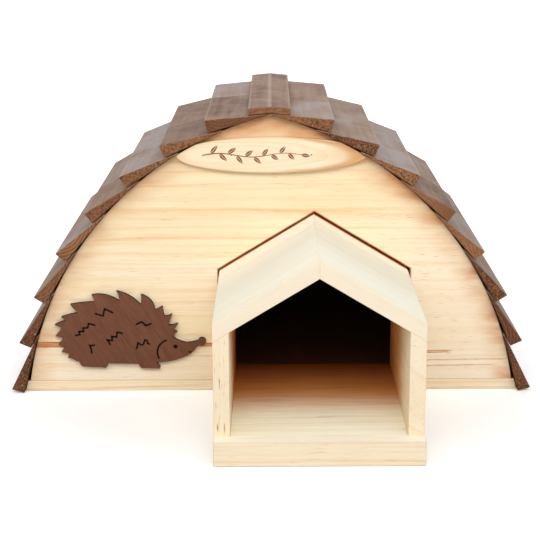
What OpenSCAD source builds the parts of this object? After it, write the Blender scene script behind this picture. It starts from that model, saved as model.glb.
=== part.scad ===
// Wooden hedgehog house: two arched end boards on a floor board, a roof of lapped wedge
// slats with a ridge batten, and a gabled entrance tunnel with a threshold.
// +Z is up, the entrance faces -Y, and the origin is on the ground under the middle.

/* [End boards and floor] */
// Width across the feet of the arched end boards, at the ground line
body_w = 405; // [360:1:460]
// Height of the end boards' peak above the ground
body_h = 232; // [205:1:265]
// Radius of the curve on each side of an end board
side_r = 274; // [235:1:340]
// Thickness of the front and rear boards
panel_t = 12; // [9:0.5:18]
// Thickness of the floor board
floor_t = 9; // [7:0.5:12]

/* [Roof] */
// Number of slats on each side of the roof
slat_count = 8; // [7:1:9]
// Length of the slats and of the ridge batten, front to back
roof_len = 226; // [180:1:320]
// How far the slats stand out past the front and rear boards
roof_overhang = 6; // [3:0.5:12]
// Width of one slat, across its taper
slat_w = 51; // [49:0.5:56]
// Thickness of a slat at its thick lower edge
slat_butt_t = 11; // [9:0.5:14]
// Thickness of a slat at its thin upper edge
slat_tip_t = 1; // [0.8:0.1:3]
// Width of the ridge batten
cap_w = 34; // [24:1:36]
// Thickness of the ridge batten
cap_t = 5.8; // [4:0.1:9]

/* [Tunnel] */
// Distance of the tunnel's middle to the right of the house's middle
tunnel_x = 35.5; // [-50:0.5:50]
// Outer width of the tunnel
tunnel_w = 154; // [130:1:180]
// Reach of the tunnel in front of the front board
tunnel_reach = 150; // [90:1:220]
// Thickness of the tunnel's two side walls
wall_t = 12; // [9:0.5:15]
// Height of the walls at their outer faces
eaves_h = 90.3; // [75:0.1:100]
// Slope of the tunnel's roof, in degrees
gable_pitch = 31.3; // [24:0.1:34]
// Thickness of the tunnel's two roof boards
gable_t = 11.5; // [9:0.5:14]
// Thickness of the tunnel's floor board
tunnel_floor_t = 9.5; // [7:0.5:13]
// Thickness of the threshold across the tunnel's mouth
threshold_t = 12.5; // [8:0.5:18]

/* [Ornaments] */
// Width of the oval plaque
plaque_w = 153; // [120:1:165]
// Height of the oval plaque
plaque_h = 29; // [22:0.5:36]
// Thickness of the oval plaque
plaque_t = 4; // [3:0.5:5]
// Distance of the plaque's middle to the right of the house's middle
plaque_x = 1.5; // [-15:0.5:15]
// Distance of the plaque's middle below the end boards' peak
plaque_drop = 32; // [27:0.5:42]
// Thickness of the hedgehog
hog_t = 3.5; // [2.5:0.1:5]
// Distance of the hedgehog's middle to the left of the house's middle
hog_x = 117.5; // [115:0.5:119]
// Height of the hedgehog's feet above the ground
hog_z = 20; // [13:0.5:30]
// Width of the slots burnt into the hedgehog
slot_w = 1.3; // [0.8:0.1:1.4]
// Thickness of wood left behind those slots
slot_floor = 0.8; // [0.5:0.1:1.2]

/* [Nails] */
// Diameter of a nail's shank
nail_d = 1.5; // [1.2:0.1:2]
// Diameter of a nail's head
nail_head_d = 2.8; // [2.4:0.1:3.6]
// Thickness of a nail's head
nail_head_t = 0.6; // [0.4:0.1:1]
// Length of the nails that hold the slats
slat_nail_len = 20; // [17:1:24]
// Distance of those nails from the slat's thin edge
slat_nail_in = 20; // [19:0.5:21]
// Length of the nails through the ridge batten
cap_nail_len = 25; // [22:1:30]
// Distance of those nails from the ridge line
cap_nail_x = 9; // [7:0.5:10]
// Length of the nails up through the floor board into the end boards
foot_nail_len = 30; // [25:1:36]
// Length of the nails through the tunnel's walls into its floor
wall_nail_len = 25; // [20:1:32]
// Length of the nails up through the house's floor into the tunnel's floor
tongue_nail_len = 15; // [12:1:15]
// Length of the two pins through the plaque
pin_len = 12; // [8:1:14]
// Diameter of those pins, which have no head
pin_d = 1.2; // [0.9:0.1:1.5]
// Distance of each pin from the plaque's middle
pin_x = 32; // [20:1:50]

/* [Fits] */
// Gap under a slat where it crosses the edge of an end board
seat_gap = 0.2; // [0.1:0.05:0.5]
// Gap where the thick edge of a slat laps over the slat below it
lap_gap = 0.15; // [0.1:0.05:0.5]
// Gap between the top slats' thin edges at the ridge
ridge_gap = 0.3; // [0.2:0.1:1]
// Gap between the floor board and the lowest slats
foot_gap = 0.3; // [0.2:0.1:1]
// Gap around the tunnel where it passes through the front board
cutout_gap = 1.6; // [1:0.1:4]
// How far the tunnel stands to the left of the middle of that opening
cutout_shift = 0.5; // [0:0.1:0.8]
// Gap around the tunnel's walls in the notches of the floor board
notch_gap = 0.4; // [0.2:0.1:1]
// Gap around a nail's shank in its hole, on the radius
nail_gap = 0.05; // [0.03:0.01:0.1]

/* [Hidden] */
$fn = 96;
// How far a cut runs past the face that it opens
past = 1;

// Depths. The house and the tunnel together are centred front to back.
front_y = (tunnel_reach + threshold_t + roof_overhang - roof_len) / 2;
rear_y = front_y + roof_len - 2 * roof_overhang - panel_t;
roof_y = front_y - roof_overhang;
tunnel_y = front_y - tunnel_reach;
tunnel_len = tunnel_reach + panel_t;

// The arc of the right-hand side of an end board, from its foot to its peak
half_w = body_w / 2;
chord = norm([half_w, body_h]);
centre_reach = sqrt(side_r * side_r - chord * chord / 4);
arc_x = half_w / 2 - centre_reach * body_h / chord;
arc_z = body_h / 2 - centre_reach * half_w / chord;

// Each slat touches the arc of radius seat_r along one line of its flat underside. The
// seat line lies butt_reach above the slat's thick edge and tip_reach below its thin edge.
seat_r = side_r + seat_gap;
slat_taper = (slat_butt_t - slat_tip_t) / slat_w;
// Angle round the arc of the lowest slat, whose thick edge stands on the ground
function low_seat(reach) = asin(-arc_z / norm([seat_r, reach])) + atan2(reach, seat_r);
// Angle round the arc of the top slat, whose thin edge ends at the ridge
function top_seat(reach) = acos((ridge_gap / 2 - arc_x) / norm([seat_r, slat_w - reach]))
    - atan2(slat_w - reach, seat_r);
// Angle from each slat to the next
function step_for(reach) = (top_seat(reach) - low_seat(reach)) / (slat_count - 1);
// Reach at which a slat's lower inner corner comes down on the taper of the slat below
function reach_for(step) =
    (slat_butt_t + lap_gap + seat_r * (1 - cos(step)) - slat_taper * seat_r * sin(step))
    / (sin(step) + slat_taper * (1 - cos(step)));
// The step and the reach depend on each other and settle after a few rounds
function settle(reach, rounds) =
    rounds == 0 ? reach : settle(reach_for(step_for(reach)), rounds - 1);
butt_reach = settle(slat_w, 8);
tip_reach = slat_w - butt_reach;
slat_step = step_for(butt_reach);
function seat_angle(i) = low_seat(butt_reach) + slat_step * (i - 1);

// The top slats' upper faces, which carry the ridge batten: their fall from the middle
// outwards, and the height at which they would meet over the middle
top_angle = seat_angle(slat_count);
cap_fall = atan2(cos(top_angle) - slat_taper * sin(top_angle),
    slat_taper * cos(top_angle) + sin(top_angle));
top_tip_x = arc_x + (seat_r + slat_tip_t) * cos(top_angle) - tip_reach * sin(top_angle);
top_tip_z = arc_z + (seat_r + slat_tip_t) * sin(top_angle) + tip_reach * cos(top_angle);
cap_z = top_tip_z + top_tip_x * tan(cap_fall) + lap_gap;

// The floor board's edges follow the flat underside of the lowest slats
low_angle = seat_angle(1);
low_corner_x = arc_x + seat_r * cos(low_angle) + butt_reach * sin(low_angle);
function floor_half(z) = low_corner_x - z * tan(low_angle) - foot_gap;

// Tunnel heights: undersides at the ridge, and the roof boards' thickness measured upright
tunnel_half = tunnel_w / 2;
ridge_h = eaves_h + tunnel_half * tan(gable_pitch);
gable_rise = gable_t / cos(gable_pitch);
function under_gable(x) = ridge_h - abs(x) * tan(gable_pitch);
threshold_h = floor_t + tunnel_floor_t;
tunnel_floor_half = tunnel_half - wall_t;

// Nail places along Y, in the middle of each end board's thickness
front_nail_y = front_y + panel_t / 2;
rear_nail_y = rear_y + panel_t / 2;
// How far the nail heads under the floor board lie in from its underside
head_sink = 0.3;
// Foot nails stand this far in from the ends of an end board, clear of the slat nails, and
// this far from the tunnel's opening
foot_nail_in = 30;
cutout_nail_in = 18;
foot_line = floor_half(floor_t) - foot_nail_in;
cutout_x = tunnel_x + cutout_shift;
cutout_left = cutout_x - tunnel_half - cutout_gap;
cutout_right = cutout_x + tunnel_half + cutout_gap;
front_foot_x = [-foot_line, cutout_left - cutout_nail_in, cutout_right + cutout_nail_in, foot_line];
rear_foot_x = [-foot_line, -foot_line / 3, foot_line / 3, foot_line];
// Height of the plaque's middle
plaque_z = body_h - plaque_drop;
// Wall nails stand this far from the ends of the tunnel's floor
wall_nail_in = 20;
wall_nail_y = [tunnel_y + wall_nail_in, tunnel_y + tunnel_reach / 2, front_y - wall_nail_in];
wall_nail_z = floor_t + tunnel_floor_t / 2;
tongue_nail_x = tunnel_floor_half * 0.6;

// Helpers for placing

// A flat X-Z outline made thick along Y, from y to y + t
module upright(y, t) {
    translate([0, y + t, 0])
        rotate([90, 0, 0])
            linear_extrude(t)
                children();
}

// The part's right side as it is drawn, or its mirror image on the left
module on_side(side) {
    mirror([side < 0 ? 1 : 0, 0, 0])
        children();
}

// The seat line of slat i: +X points out of the roof and +Z up along the slat's underside
module at_seat(i) {
    translate([arc_x, 0, arc_z])
        rotate([0, -seat_angle(i), 0])
            translate([seat_r, 0, 0])
                children();
}

// The place of a slat nail, on the slat's upper face: +X is square out of that face
module at_slat_nail(i, y) {
    at_seat(i)
        translate([slat_tip_t + slat_taper * slat_nail_in, y, tip_reach - slat_nail_in])
            rotate([0, -atan(slat_taper), 0])
                children();
}

// The place of a ridge nail, on the batten's upper face: +Z is square out of that face
module at_cap_nail(y) {
    translate([cap_nail_x, y, cap_z + cap_t - cap_nail_x * tan(cap_fall)])
        rotate([0, cap_fall, 0])
            children();
}

// Helpers for nails

// A nail with the top of its head on the Z = 0 plane and its point down
module nail(length) {
    point = nail_d;
    translate([0, 0, -nail_head_t])
        cylinder(d = nail_head_d, h = nail_head_t, $fn = 32);
    translate([0, 0, point - length])
        cylinder(d = nail_d, h = length - point, $fn = 24);
    translate([0, 0, -length])
        cylinder(d1 = nail_d / 5, d2 = nail_d, h = point, $fn = 24);
}

// The hole for that nail, open at the top, with a recess that takes the head
module nail_hole(length) {
    translate([0, 0, -length - nail_gap])
        cylinder(d = nail_d + 2 * nail_gap, h = length + nail_gap + past, $fn = 24);
    translate([0, 0, -nail_head_t - nail_gap])
        cylinder(d = nail_head_d + 2 * nail_gap, h = nail_head_t + nail_gap + past, $fn = 32);
}

// The nails, or with hole = true their holes, at one end of the roof
module slat_nail_row(side, y, hole = false) {
    for (i = [1:slat_count])
        on_side(side)
            at_slat_nail(i, y)
                rotate([0, 90, 0])
                    if (hole) nail_hole(slat_nail_len);
                    else nail(slat_nail_len);
}

// The two ridge nails at one end of the roof, or their holes
module cap_nail_pair(y, hole = false) {
    for (side = [-1, 1])
        on_side(side)
            at_cap_nail(y)
                if (hole) nail_hole(cap_nail_len);
                else nail(cap_nail_len);
}

// Foot nails point up, with their heads sunk in the floor board's underside
module foot_nail_row(xs, y, hole = false) {
    for (x = xs)
        translate([x, y, head_sink])
            rotate([180, 0, 0])
                if (hole) nail_hole(foot_nail_len);
                else nail(foot_nail_len);
}

module all_foot_nails(hole = false) {
    foot_nail_row(front_foot_x, front_nail_y, hole);
    foot_nail_row(rear_foot_x, rear_nail_y, hole);
}

// Nails through one tunnel wall into the edge of the tunnel's floor
module wall_nail_row(side, hole = false) {
    translate([tunnel_x, 0, wall_nail_z])
        on_side(side)
            for (y = wall_nail_y)
                translate([tunnel_half, y, 0])
                    rotate([0, 90, 0])
                        if (hole) nail_hole(wall_nail_len);
                        else nail(wall_nail_len);
}

// Nails up through the house's floor board into the tongue of the tunnel's floor
module tongue_nails(hole = false) {
    for (x = [-tongue_nail_x, 0, tongue_nail_x])
        translate([tunnel_x + x, front_nail_y, head_sink])
            rotate([180, 0, 0])
                if (hole) nail_hole(tongue_nail_len);
                else nail(tongue_nail_len);
}

// Headless pins through the plaque, with their ends flush with its face
module plaque_pin_pair(d, length) {
    for (x = [-pin_x, pin_x])
        translate([plaque_x + x, front_y - plaque_t, plaque_z])
            rotate([-90, 0, 0])
                cylinder(d = d, h = length, $fn = 20);
}

// Body of the house

// The pointed arch of an end board, standing on the floor board
module arch() {
    intersection() {
        translate([arc_x, arc_z])
            circle(r = side_r);
        translate([-arc_x, arc_z])
            circle(r = side_r);
        translate([-body_w / 2, floor_t])
            square([body_w, body_h]);
    }
}

module floor_board() {
    depth = rear_y + panel_t - front_y;
    notch_w = wall_t + 2 * notch_gap;
    color("burlywood")
        difference() {
            upright(front_y, depth)
                polygon([
                    [-floor_half(0), 0], [floor_half(0), 0],
                    [floor_half(floor_t), floor_t], [-floor_half(floor_t), floor_t]]);
            for (side = [-1, 1])
                translate([tunnel_x + side * (tunnel_half - wall_t / 2) - notch_w / 2,
                    front_y - past, -past])
                    cube([notch_w, past + panel_t + notch_gap, floor_t + 2 * past]);
            all_foot_nails(hole = true);
            tongue_nails(hole = true);
        }
}

// The gabled opening that the tunnel passes through, open at the bottom
module tunnel_cutout() {
    half = tunnel_half + cutout_gap;
    top = ridge_h + gable_rise + cutout_gap / cos(gable_pitch);
    translate([cutout_x, 0])
        polygon([
            [-half, 0], [half, 0],
            [half, top - half * tan(gable_pitch)], [0, top], [-half, top - half * tan(gable_pitch)]]);
}

module front_panel() {
    color("wheat")
        difference() {
            upright(front_y, panel_t)
                arch();
            upright(front_y - past, panel_t + 2 * past)
                tunnel_cutout();
            slat_nail_row(-1, front_nail_y, hole = true);
            slat_nail_row(1, front_nail_y, hole = true);
            cap_nail_pair(front_nail_y, hole = true);
            foot_nail_row(front_foot_x, front_nail_y, hole = true);
            plaque_pin_pair(pin_d + 2 * nail_gap, pin_len + nail_gap);
        }
}

module rear_panel() {
    color("wheat")
        difference() {
            upright(rear_y, panel_t)
                arch();
            slat_nail_row(-1, rear_nail_y, hole = true);
            slat_nail_row(1, rear_nail_y, hole = true);
            cap_nail_pair(rear_nail_y, hole = true);
            foot_nail_row(rear_foot_x, rear_nail_y, hole = true);
        }
}

// Roof

// One wedge-cut slat of the right side, with a nail hole over each end board
module slat(i, side) {
    color(i % 2 == 0 ? "rosybrown" : "gray")
        on_side(side)
            difference() {
                at_seat(i)
                    upright(roof_y, roof_len)
                        polygon([
                            [0, -butt_reach], [slat_butt_t, -butt_reach],
                            [slat_tip_t, tip_reach], [0, tip_reach]]);
                for (y = [front_nail_y, rear_nail_y])
                    at_slat_nail(i, y)
                        rotate([0, 90, 0])
                            nail_hole(slat_nail_len);
                if (i == slat_count) {
                    cap_nail_pair(front_nail_y, hole = true);
                    cap_nail_pair(rear_nail_y, hole = true);
                }
            }
}

// A shallow chevron that follows the fall of the two top slats
module ridge_batten() {
    half = cap_w / 2;
    drop = half * tan(cap_fall);
    color("gray")
        difference() {
            upright(roof_y, roof_len)
                polygon([
                    [-half, cap_z - drop], [0, cap_z], [half, cap_z - drop],
                    [half, cap_z - drop + cap_t], [0, cap_z + cap_t], [-half, cap_z - drop + cap_t]]);
            cap_nail_pair(front_nail_y, hole = true);
            cap_nail_pair(rear_nail_y, hole = true);
        }
}

// Entrance tunnel

module tunnel_floor() {
    color("moccasin")
        difference() {
            translate([tunnel_x - tunnel_floor_half, tunnel_y, floor_t])
                cube([2 * tunnel_floor_half, tunnel_len, tunnel_floor_t]);
            wall_nail_row(-1, hole = true);
            wall_nail_row(1, hole = true);
            tongue_nails(hole = true);
        }
}

// A side wall, whose top is cut to the slope of the tunnel's roof
module tunnel_wall(side) {
    color("cornsilk")
        difference() {
            translate([tunnel_x, 0, 0])
                on_side(side)
                    upright(tunnel_y, tunnel_len)
                        polygon([
                            [tunnel_floor_half, 0], [tunnel_half, 0],
                            [tunnel_half, under_gable(tunnel_half)],
                            [tunnel_floor_half, under_gable(tunnel_floor_half)]]);
            wall_nail_row(side, hole = true);
        }
}

// A roof board, mitred at the ridge and cut upright at the eaves
module tunnel_roof(side) {
    color("cornsilk")
        translate([tunnel_x, 0, 0])
            on_side(side)
                upright(tunnel_y, tunnel_len)
                    polygon([
                        [0, ridge_h], [tunnel_half, under_gable(tunnel_half)],
                        [tunnel_half, under_gable(tunnel_half) + gable_rise],
                        [0, ridge_h + gable_rise]]);
}

module threshold() {
    color("moccasin")
        translate([tunnel_x - tunnel_half, tunnel_y - threshold_t, 0])
            cube([tunnel_w, threshold_t, threshold_h]);
}

// Ornaments on the front board

// An oval plate, trimmed where it would reach under the slats
module oval_plaque() {
    color("navajowhite")
        difference() {
            intersection() {
                upright(front_y - plaque_t, plaque_t)
                    translate([plaque_x, plaque_z])
                        polygon([for (a = [0:5:355]) [plaque_w / 2 * cos(a), plaque_h / 2 * sin(a)]]);
                upright(front_y - plaque_t - past, plaque_t + 2 * past)
                    arch();
            }
            translate([0, -past, 0])
                plaque_pin_pair(pin_d + 2 * nail_gap, pin_len + past);
        }
}

// Points from p to q along an arc that swells to the left of the line by bulge, without q.
// On an outline that runs anticlockwise, a bulge above 0 is hollow and one below 0 is full.
function arc_points(p, q, bulge) =
    bulge == 0 ? [p] :
    let (span = norm(q - p), along = (q - p) / span, out = [-along[1], along[0]],
        r = (span * span / 4 + bulge * bulge) / (2 * abs(bulge)),
        half = asin(min(1, span / 2 / r)), steps = 6)
    [for (k = [0:steps - 1])
        let (a = half * (2 * k / steps - 1))
        (p + q) / 2 + along * r * sin(a) + out * sign(bulge) * (r * cos(a) - r + abs(bulge))];

// Outline of a closed shape from corners [x, y, bulge of the side to the next corner]
function bulged(corners) =
    [for (k = [0:len(corners) - 1])
        let (c = corners[k], n = corners[(k + 1) % len(corners)])
        each arc_points([c[0], c[1]], [n[0], n[1]], c[2])];

// Corners of the hedgehog, anticlockwise from the top of its snout, each spine tip then its notch
hog_corners = [
    [57, 24.4, 0.3], [48, 22.8, 0.9], [36.2, 28, 0],
    [40.4, 32.4, 0], [37.6, 33.2, 0], [41, 39.4, 0.3], [33.4, 38, 0],
    [36.4, 47.6, 0.3], [30, 45.6, 0], [28.4, 54.4, 0.3], [22.6, 51.4, -2.8],
    [11, 64.6, 0.8], [10.4, 56, -1.9],
    [-9, 67.6, 0.8], [-6.8, 58.8, -2.6],
    [-29.4, 64.4, 0.3], [-27, 58.2, -0.6],
    [-47.3, 56.2, -0.2], [-41.4, 49, -0.4],
    [-55.3, 45.4, 0.2], [-51.8, 42.1, -0.4],
    [-61, 38.8, 0], [-55, 36.2, 0],
    [-60.8, 28.8, -0.3], [-53.6, 28.4, 0],
    [-58.6, 21.2, 0.3], [-52.9, 19.8, 0],
    [-56.4, 15, 0.3], [-50, 13.8, 0],
    [-51.2, 10, 0.3], [-46.3, 8.6, -0.3],
    [-42, 6.4, 0], [-40.4, 3.4, -0.5], [-37, 2.3, 0], [-20, 1.2, -0.4], [-18.4, 3.4, 0],
    [-18.6, 5, 0], [7, 4.4, 0], [10, 0.6, 0], [24.4, 0.2, -0.4], [25.6, 1.8, 0],
    [22.4, 5.8, -2.6], [53.4, 14.6, 0.4], [58.6, 21, 0]];
hog_nose = [60.6, 23.6];
hog_nose_r = 3.3;
hog_eye = [38.6, 19.5];
hog_eye_r = 1.7;

// The curls burnt into its coat, and its mouth
hog_slots = [
    [[-27.4, 48.4], [-20.6, 46.3], [-19.1, 52.4], [-12.1, 48.8]],
    [[-44.2, 29.5], [-40.4, 30.1], [-41, 32.9], [-37.2, 33], [-37.6, 35.9], [-33.8, 36],
        [-32.8, 39.8], [-27.1, 38.2]],
    [[-15.3, 21.2], [-18, 25.6], [-13.7, 25], [-14, 28.6], [-10, 27.8], [-9.5, 32.2],
        [-4.8, 31.1]],
    [[6.3, 38.8], [11.1, 41.1], [14.5, 37.8], [19.3, 39.6]],
    [[6.1, 17.2], [7.6, 22.9], [10.3, 20.8], [12, 21.5], [13.3, 25.3], [14.8, 25.2],
        [15.8, 22.2], [17.4, 21.5]],
    [[-31.1, 13.8], [-31.6, 18.4], [-32.7, 20.8], [-28.3, 20.9]],
    [[49.6, 14.9], [54.6, 14.2]]];
// The slot behind its face is an arc
hog_cheek = [[31.6, 25.2], [24.9, 8.8]];
hog_cheek_bulge = -4.4;

// One side of a burnt slot: the path moved sideways by d, mitred at its corners
function beside(path, d) =
    [for (k = [0:len(path) - 1])
        let (before = path[max(k - 1, 0)], after = path[min(k + 1, len(path) - 1)],
            u = k == 0 ? after - path[k] : path[k] - before,
            v = k == len(path) - 1 ? path[k] - before : after - path[k],
            n = [-u[1], u[0]] / norm(u) + [-v[1], v[0]] / norm(v))
        path[k] + n * 2 * d / (n * n)];

// The slot along a path, of the burnt width
module slot(path) {
    near = beside(path, slot_w / 2);
    far = beside(path, -slot_w / 2);
    polygon(concat(near, [for (k = [len(far) - 1:-1:0]) far[k]]));
}

module hedgehog_cutout() {
    burnt = past + hog_t - slot_floor;
    color("saddlebrown")
        translate([-hog_x, front_y - hog_t, hog_z])
            difference() {
                union() {
                    upright(0, hog_t)
                        polygon(bulged(hog_corners));
                    upright(0, hog_t)
                        translate(hog_nose)
                            circle(r = hog_nose_r, $fn = 32);
                }
                upright(-past, burnt)
                    translate(hog_eye)
                        circle(r = hog_eye_r, $fn = 24);
                for (path = hog_slots)
                    upright(-past, burnt)
                        slot(path);
                upright(-past, burnt)
                    slot(concat(arc_points(hog_cheek[0], hog_cheek[1], hog_cheek_bulge), [hog_cheek[1]]));
            }
}

// Nails

module slat_nails() {
    color("silver")
        for (side = [-1, 1], y = [front_nail_y, rear_nail_y])
            slat_nail_row(side, y);
}

module ridge_nails() {
    color("silver") {
        cap_nail_pair(front_nail_y);
        cap_nail_pair(rear_nail_y);
    }
}

module foot_nails() {
    color("silver")
        all_foot_nails();
}

module tunnel_wall_nails() {
    color("silver") {
        wall_nail_row(-1);
        wall_nail_row(1);
    }
}

module tunnel_tongue_nails() {
    color("silver")
        tongue_nails();
}

module plaque_pins() {
    color("silver")
        plaque_pin_pair(pin_d, pin_len);
}

floor_board();
front_panel();
rear_panel();
for (i = [1:slat_count]) {
    slat(i, -1);
    slat(i, 1);
}
ridge_batten();
tunnel_floor();
tunnel_wall(-1);  // tunnel_wall_left
tunnel_wall(1);  // tunnel_wall_right
tunnel_roof(-1);  // tunnel_roof_left
tunnel_roof(1);  // tunnel_roof_right
threshold();
oval_plaque();
hedgehog_cutout();
slat_nails();
ridge_nails();
foot_nails();
tunnel_wall_nails();
tunnel_tongue_nails();
plaque_pins();
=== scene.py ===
import math

import bmesh
import bpy
from mathutils import Matrix, Vector, noise


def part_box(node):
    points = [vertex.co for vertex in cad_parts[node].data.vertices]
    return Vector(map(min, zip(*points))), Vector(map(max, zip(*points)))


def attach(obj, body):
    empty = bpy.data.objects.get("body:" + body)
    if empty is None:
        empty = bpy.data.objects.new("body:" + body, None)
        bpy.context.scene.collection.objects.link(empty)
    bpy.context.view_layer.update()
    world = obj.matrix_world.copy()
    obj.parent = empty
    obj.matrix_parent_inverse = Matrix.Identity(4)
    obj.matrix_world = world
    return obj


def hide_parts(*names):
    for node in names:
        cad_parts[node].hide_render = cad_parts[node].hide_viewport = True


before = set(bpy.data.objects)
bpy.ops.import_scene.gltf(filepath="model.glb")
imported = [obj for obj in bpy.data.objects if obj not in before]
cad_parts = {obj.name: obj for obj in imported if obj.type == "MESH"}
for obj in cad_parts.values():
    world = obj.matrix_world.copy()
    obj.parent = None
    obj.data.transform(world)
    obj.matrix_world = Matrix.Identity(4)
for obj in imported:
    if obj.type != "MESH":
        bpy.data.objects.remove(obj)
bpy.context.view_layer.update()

# Floor board
# A pine board 9 mm thick that everything stands on. Its long edges are planed to the
# slope of the lowest slats, and two notches let the tunnel's walls through.

# Measures are in millimetres, and MM turns them into metres
MM = 0.001


class Wire:
    """An output of a finish's node. Sums on wires add the Math nodes that they need."""

    def __init__(self, finish, socket):
        self.finish = finish
        self.socket = socket

    def math(self, operation, *values):
        settings = {"operation": operation}
        return self.finish.node("ShaderNodeMath", settings, dict(enumerate(values)))

    def __add__(self, other):
        return self.math("ADD", self, other)

    def __radd__(self, other):
        return self.math("ADD", other, self)

    def __sub__(self, other):
        return self.math("SUBTRACT", self, other)

    def __rsub__(self, other):
        return self.math("SUBTRACT", other, self)

    def __mul__(self, other):
        return self.math("MULTIPLY", self, other)

    def __rmul__(self, other):
        return self.math("MULTIPLY", other, self)

    def __truediv__(self, other):
        return self.math("DIVIDE", self, other)

    def __abs__(self):
        return self.math("ABSOLUTE", self)

    def whole(self):
        """The wire rounded down."""
        return self.math("FLOOR", self)

    def part(self):
        """What is left of the wire over a whole number."""
        return self.math("FRACT", self)

    def root(self):
        return self.math("SQRT", self)

    def most(self, other):
        """The larger of two wires."""
        return self.math("MAXIMUM", self, other)

    def rise(self, low, peak_shade):
        """0 where the wire is under low, 1 over high, and smooth between them."""
        settings = {"interpolation_type": "SMOOTHSTEP"}
        inputs = {"Value": self, "From Min": low, "From Max": peak_shade}
        return self.finish.node("ShaderNodeMapRange", settings, inputs)

    def bell(self, middle, reach):
        """1 at middle, falling to 0 at reach on either side of it."""
        return 1 - abs(self - middle).rise(0, reach)

    def dot(self, direction):
        settings = {"operation": "DOT_PRODUCT"}
        return self.finish.node("ShaderNodeVectorMath", settings, {0: self, 1: direction})

    def turned(self, degrees):
        """A place, turned about the direction into the grain."""
        inputs = {"Vector": self, "Angle": math.radians(degrees)}
        return self.finish.node("ShaderNodeVectorRotate", {"rotation_type": "Z_AXIS"}, inputs)

    def stretch(self, along, across, deep):
        """A place in millimetres, in units of these many millimetres each way."""
        scale = (1 / along, 1 / across, 1 / deep)
        return self.finish.node("ShaderNodeVectorMath", {"operation": "MULTIPLY"}, {0: self, 1: scale})

    def mottle(self, along, across, detail=2.0, roughness=0.5, deep=None):
        """Noise about 0, in patches of these many millimetres along the grain and across."""
        inputs = {
            "Vector": self.stretch(along, across, deep or across),
            "Scale": 1.0,
            "Detail": detail,
            "Roughness": roughness,
        }
        return self.finish.node("ShaderNodeTexNoise", {}, inputs) * 2 - 1

    def lot(self, draw):
        """A number from 0 to 1 for each whole value of the wire, another for each draw."""
        inputs = {"W": self + draw}
        return self.finish.node("ShaderNodeTexWhiteNoise", {"noise_dimensions": "1D"}, inputs, "Value")


class Finish:
    """A material, or the world's light, in the making: a shader and the nodes that feed it."""

    kinds = {
        "material": ("materials", "ShaderNodeBsdfPrincipled", "ShaderNodeOutputMaterial"),
        "world": ("worlds", "ShaderNodeBackground", "ShaderNodeOutputWorld"),
    }

    def __init__(self, name, kind="material", **constants):
        store, shader, target = self.kinds[kind]
        self.owner = getattr(bpy.data, store).new(name)
        self.owner.use_nodes = True
        self.tree = self.owner.node_tree
        self.tree.nodes.clear()
        self.shader = self.tree.nodes.new(shader)
        output = self.tree.nodes.new(target)
        self.tree.links.new(self.shader.outputs[0], output.inputs["Surface"])
        for socket, value in constants.items():
            self.shader.inputs[socket.replace("_", " ")].default_value = value

    def feed(self, node, inputs):
        for key, value in inputs.items():
            if isinstance(key, int):
                socket = node.inputs[key]
            else:
                socket = next(s for s in node.inputs if key in (s.identifier, s.name))
            if isinstance(value, Wire):
                self.tree.links.new(value.socket, socket)
            else:
                socket.default_value = value

    def node(self, kind, settings, inputs, output=None):
        """Adds a node: first its settings, then its sockets. Returns the output wanted."""
        node = self.tree.nodes.new(kind)
        for key, value in settings.items():
            setattr(node, key, value)
        self.feed(node, inputs)
        if output:
            return Wire(self, node.outputs[output])
        return Wire(self, next(s for s in node.outputs if s.enabled))

    def place(self):
        """Where a point lies in its board, in millimetres along, across and into the grain."""
        return self.node("ShaderNodeAttribute", {"attribute_name": "grain"}, {}, "Vector")

    def wear_and_shade(self):
        """1 on the eased edges of a piece and 0 on its faces. On a slat, -1 marks the underside, which
        is painted dark as painted shade.
        """
        return self.node("ShaderNodeAttribute", {"attribute_name": "wear_and_shade"}, {}, "Fac")

    def spot(self):
        """Where a point lies in the whole object, in millimetres."""
        place = self.node("ShaderNodeTexCoord", {}, {}, "Object")
        return self.node("ShaderNodeVectorMath", {"operation": "SCALE"}, {0: place, "Scale": 1 / MM})

    def toward(self, direction):
        """1 on faces that look in a direction, -1 on those that look away, 0 on faces along it."""
        return self.node("ShaderNodeNewGeometry", {}, {}, "Normal").dot(direction)

    def tint(self, amount, start, end):
        """A colour between start and end."""
        settings = {"data_type": "RGBA", "clamp_factor": True}
        inputs = {"Factor_Float": amount, "A_Color": start, "B_Color": end}
        return self.node("ShaderNodeMix", settings, inputs)

    def shade(self, colour, amount):
        """A colour made brighter or darker by a factor that varies."""
        settings = {"operation": "SCALE"}
        return self.node("ShaderNodeVectorMath", settings, {0: colour, "Scale": amount})

    def relief(self, height, depth_mm):
        """A normal from a height of 0 to 1 that stands for so many millimetres."""
        inputs = {"Strength": 1.0, "Distance": depth_mm * MM, "Height": height}
        return self.node("ShaderNodeBump", {}, inputs)

    def done(self, **sockets):
        """Feeds the shader's sockets and returns the material or world."""
        self.feed(self.shader, {key.replace("_", " "): value for key, value in sockets.items()})
        return self.owner


def rgb(red, green, blue):
    """A colour as it looks on a screen, from 0 to 255, in the linear values of a shader."""
    shown = [value / 255 for value in (red, green, blue)]
    return (*[v / 12.92 if v <= 0.04045 else ((v + 0.055) / 1.055) ** 2.4 for v in shown], 1.0)


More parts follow.
